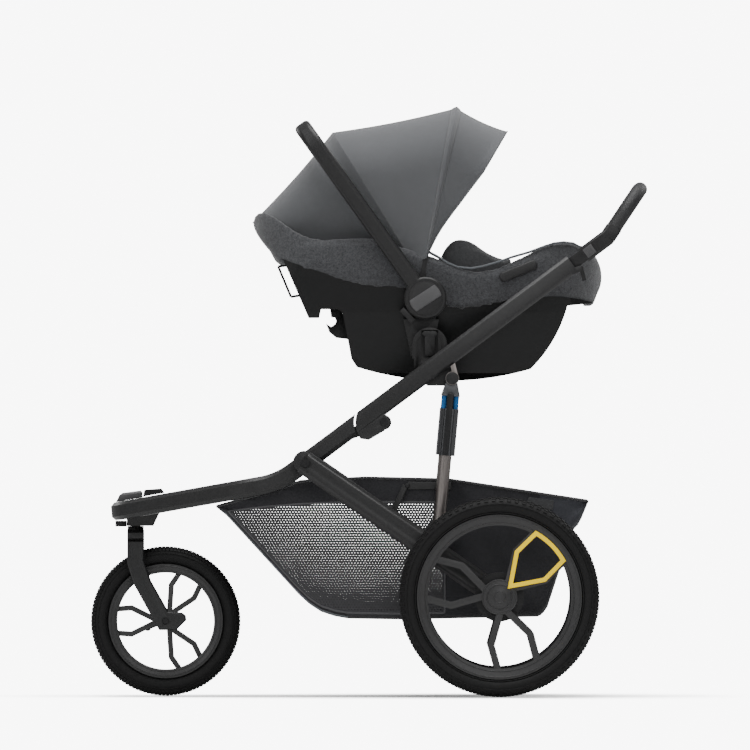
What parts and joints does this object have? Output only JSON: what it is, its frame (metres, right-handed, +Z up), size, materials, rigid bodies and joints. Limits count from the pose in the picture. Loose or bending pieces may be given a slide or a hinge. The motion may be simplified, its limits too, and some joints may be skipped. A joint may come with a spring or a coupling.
{
  "type": "jogging stroller",
  "caption": "Folding jogging stroller with a swivel front wheel, telescoping handle, shocks, mesh basket and a lift-off infant carrier with a folding canopy.",
  "frame": {"origin": "on the ground, under the middle of the object", "axes": "+X towards the rear and the person pushing, +Y towards the right side, +Z up"},
  "size_m": [1.1309, 0.645, 1.1955],
  "materials": {
    "frame_metal": "matte charcoal powder coat",
    "steel": "satin steel",
    "dark_steel": "black oxide",
    "sleeve_metal": "anodised gunmetal",
    "shock_metal": "satin silver-bronze",
    "black_plastic": "matte black",
    "shell_plastic": "satin black shell",
    "grey_plastic": "mid grey",
    "tyre_rubber": "black rubber",
    "rim_plastic": "matte dark grey",
    "basket_fabric": "near-black woven with mesh",
    "canopy_fabric": "smooth mid grey weave",
    "melange_fabric": "charcoal melange",
    "pad_fabric": "dark knit",
    "grip_leather": "dimpled dark grey",
    "elastomer": "blue elastomer"
  },
  "bodies": {
    "front_frame": {"lower_rail_left": "frame_metal", "lower_rail_right": "frame_metal", "front_crossbar": "frame_metal", "head_housing": "black_plastic", "steering_bearings": "steel", "nose_cover": "grey_plastic", "foot_pad": "black_plastic", "arm_pivot_bolts": "dark_steel"},
    "swivel_lock": {"swivel_lock": "black_plastic"},
    "front_fork": {"fork_crown": "frame_metal", "fork_legs": "frame_metal", "front_axle": "dark_steel"},
    "quick_release": {"quick_release_lever": "black_plastic"},
    "front_wheel": {"front_tyre": "tyre_rubber", "front_rim": "rim_plastic", "front_spider": "rim_plastic"},
    "rear_frame": {"rear_arm_left": "frame_metal", "rear_arm_right": "frame_metal", "cross_axle": "frame_metal", "rear_axle_pins": "steel", "brake_drums": "black_plastic", "basket": "basket_fabric"},
    "brake_pedal": {"brake_pedal": "black_plastic"},
    "rear_wheel_left": {"rear_tyre_left": "tyre_rubber", "rear_rim_left": "rim_plastic", "rear_spider_left": "rim_plastic"},
    "rear_wheel_right": {"rear_tyre_right": "tyre_rubber", "rear_rim_right": "rim_plastic", "rear_spider_right": "rim_plastic"},
    "shocks": {"shock_clevises": "sleeve_metal", "shock_elastomers": "elastomer", "shock_sleeves": "sleeve_metal", "shock_tubes": "shock_metal"},
    "upper_frame": {"upper_rail_left": "frame_metal", "upper_rail_right": "frame_metal", "adapters": "black_plastic", "shock_brackets": "shock_metal", "seat_crossbar": "frame_metal", "fold_pins": "dark_steel"},
    "adapter_buttons": {"adapter_buttons": "black_plastic"},
    "clamp_levers": {"clamp_levers": "black_plastic"},
    "handle": {"handle_stems": "black_plastic", "handle_grip": "grip_leather"},
    "handle_button_left": {"handle_button_left": "grey_plastic"},
    "handle_button_right": {"handle_button_right": "grey_plastic"},
    "carrier": {"carrier_shell": "shell_plastic", "seat_cover": "melange_fabric", "seat_pad": "pad_fabric", "harness": "pad_fabric", "side_brackets": "black_plastic", "head_latch": "black_plastic", "canopy_panel_rear": "canopy_fabric"},
    "carrier_bow": {"carrier_bow": "black_plastic"},
    "bow_release_left": {"bow_release_left": "grey_plastic"},
    "bow_release_right": {"bow_release_right": "grey_plastic"},
    "canopy_mid": {"canopy_bow_mid": "black_plastic"},
    "canopy_front": {"canopy_bow_front": "black_plastic", "canopy_panel_front": "canopy_fabric"},
    "visor": {"canopy_visor_wire": "black_plastic", "canopy_visor": "canopy_fabric"}
  },
  "joints": [
    {"name": "fold", "type": "hinge", "parent": "front_frame", "child": "upper_frame", "pos_m": [0.02924, 0, 0.55673], "axis": [0, -1, 0], "range_deg": [0, 60]},
    {"name": "rear_arm_fold", "type": "hinge", "parent": "front_frame", "child": "rear_frame", "pos_m": [-0.1306, 0, 0.475], "axis": [0, -1, 0], "range_deg": [0, 24]},
    {"name": "shock_swing", "type": "hinge", "parent": "upper_frame", "child": "shocks", "pos_m": [0.16771, 0, 0.64622], "axis": [0, -1, 0], "range_deg": [-30, 0]},
    {"name": "fork_swivel", "type": "hinge", "parent": "front_frame", "child": "front_fork", "pos_m": [-0.476, 0, 0.34], "axis": [0, 0, 1], "continuous": true},
    {"name": "front_wheel_spin", "type": "hinge", "parent": "front_fork", "child": "front_wheel", "pos_m": [-0.415, 0, 0.1524], "axis": [0, 1, 0], "continuous": true},
    {"name": "rear_wheel_left_spin", "type": "hinge", "parent": "rear_frame", "child": "rear_wheel_left", "pos_m": [0.263, -0.301, 0.2032], "axis": [0, 1, 0], "continuous": true},
    {"name": "rear_wheel_right_spin", "type": "hinge", "parent": "rear_frame", "child": "rear_wheel_right", "pos_m": [0.263, 0.301, 0.2032], "axis": [0, 1, 0], "continuous": true},
    {"name": "quick_release_swing", "type": "hinge", "parent": "front_fork", "child": "quick_release", "pos_m": [-0.415, 0.0586, 0.1524], "axis": [0.3539, 0, -0.9353], "range_deg": [0, 120]},
    {"name": "swivel_lock_slide", "type": "slide", "parent": "front_frame", "child": "swivel_lock", "axis": [-1, 0, 0], "range_m": [0, 0.005]},
    {"name": "brake_pedal_tip", "type": "hinge", "parent": "rear_frame", "child": "brake_pedal", "pos_m": [0.263, 0.223, 0.1652], "axis": [0, 1, 0], "range_deg": [0, 20]},
    {"name": "handle_telescope", "type": "slide", "parent": "upper_frame", "child": "handle", "axis": [0.8018, 0, 0.5976], "range_m": [0, 0.09]},
    {"name": "handle_button_left_press", "type": "slide", "parent": "handle", "child": "handle_button_left", "axis": [0, 1, 0], "range_m": [0, 0.003], "stiffness_N_per_m": 400},
    {"name": "handle_button_right_press", "type": "slide", "parent": "handle", "child": "handle_button_right", "axis": [0, -1, 0], "range_m": [0, 0.003], "stiffness_N_per_m": 400},
    {"name": "clamp_lever_swing", "type": "hinge", "parent": "upper_frame", "child": "clamp_levers", "pos_m": [0.42889, 0, 0.86958], "axis": [0, -1, 0], "range_deg": [0, 60]},
    {"name": "adapter_button_press", "type": "slide", "parent": "upper_frame", "child": "adapter_buttons", "axis": [0, 0, -1], "range_m": [0, 0.004], "stiffness_N_per_m": 400},
    {"name": "carrier_lift", "type": "slide", "parent": "upper_frame", "child": "carrier", "axis": [0, 0, 1], "range_m": [0, 0.45]},
    {"name": "carrier_bow_swing", "type": "hinge", "parent": "carrier", "child": "carrier_bow", "pos_m": [0.1133, 0, 0.8089], "axis": [0, -1, 0], "range_deg": [-90, 35]},
    {"name": "bow_release_left_press", "type": "slide", "parent": "carrier_bow", "child": "bow_release_left", "axis": [0, 1, 0], "range_m": [0, 0.003], "stiffness_N_per_m": 400},
    {"name": "bow_release_right_press", "type": "slide", "parent": "carrier_bow", "child": "bow_release_right", "axis": [0, -1, 0], "range_m": [0, 0.003], "stiffness_N_per_m": 400},
    {"name": "canopy_fold", "type": "hinge", "parent": "carrier", "child": "canopy_front", "pos_m": [0.106, 0, 0.851], "axis": [0, -1, 0], "range_deg": [0, 62], "deforming": ["canopy_panel_front"]},
    {"name": "canopy_mid_fold", "type": "hinge", "parent": "carrier", "child": "canopy_mid", "pos_m": [0.106, 0, 0.851], "axis": [0, -1, 0], "range_deg": [0, 31.5], "deforming": ["canopy_panel_rear"]},
    {"name": "visor_fold", "type": "hinge", "parent": "canopy_front", "child": "visor", "pos_m": [0.106, 0, 0.851], "axis": [0, -1, 0], "range_deg": [0, 10], "deforming": ["canopy_visor"]}
  ],
  "couplings": [
    {"joint": "rear_arm_fold", "follows": "fold", "ratio": 0.385},
    {"joint": "shock_swing", "follows": "fold", "ratio": -0.4625},
    {"joint": "canopy_mid_fold", "follows": "canopy_fold", "ratio": 0.5}
  ]
}
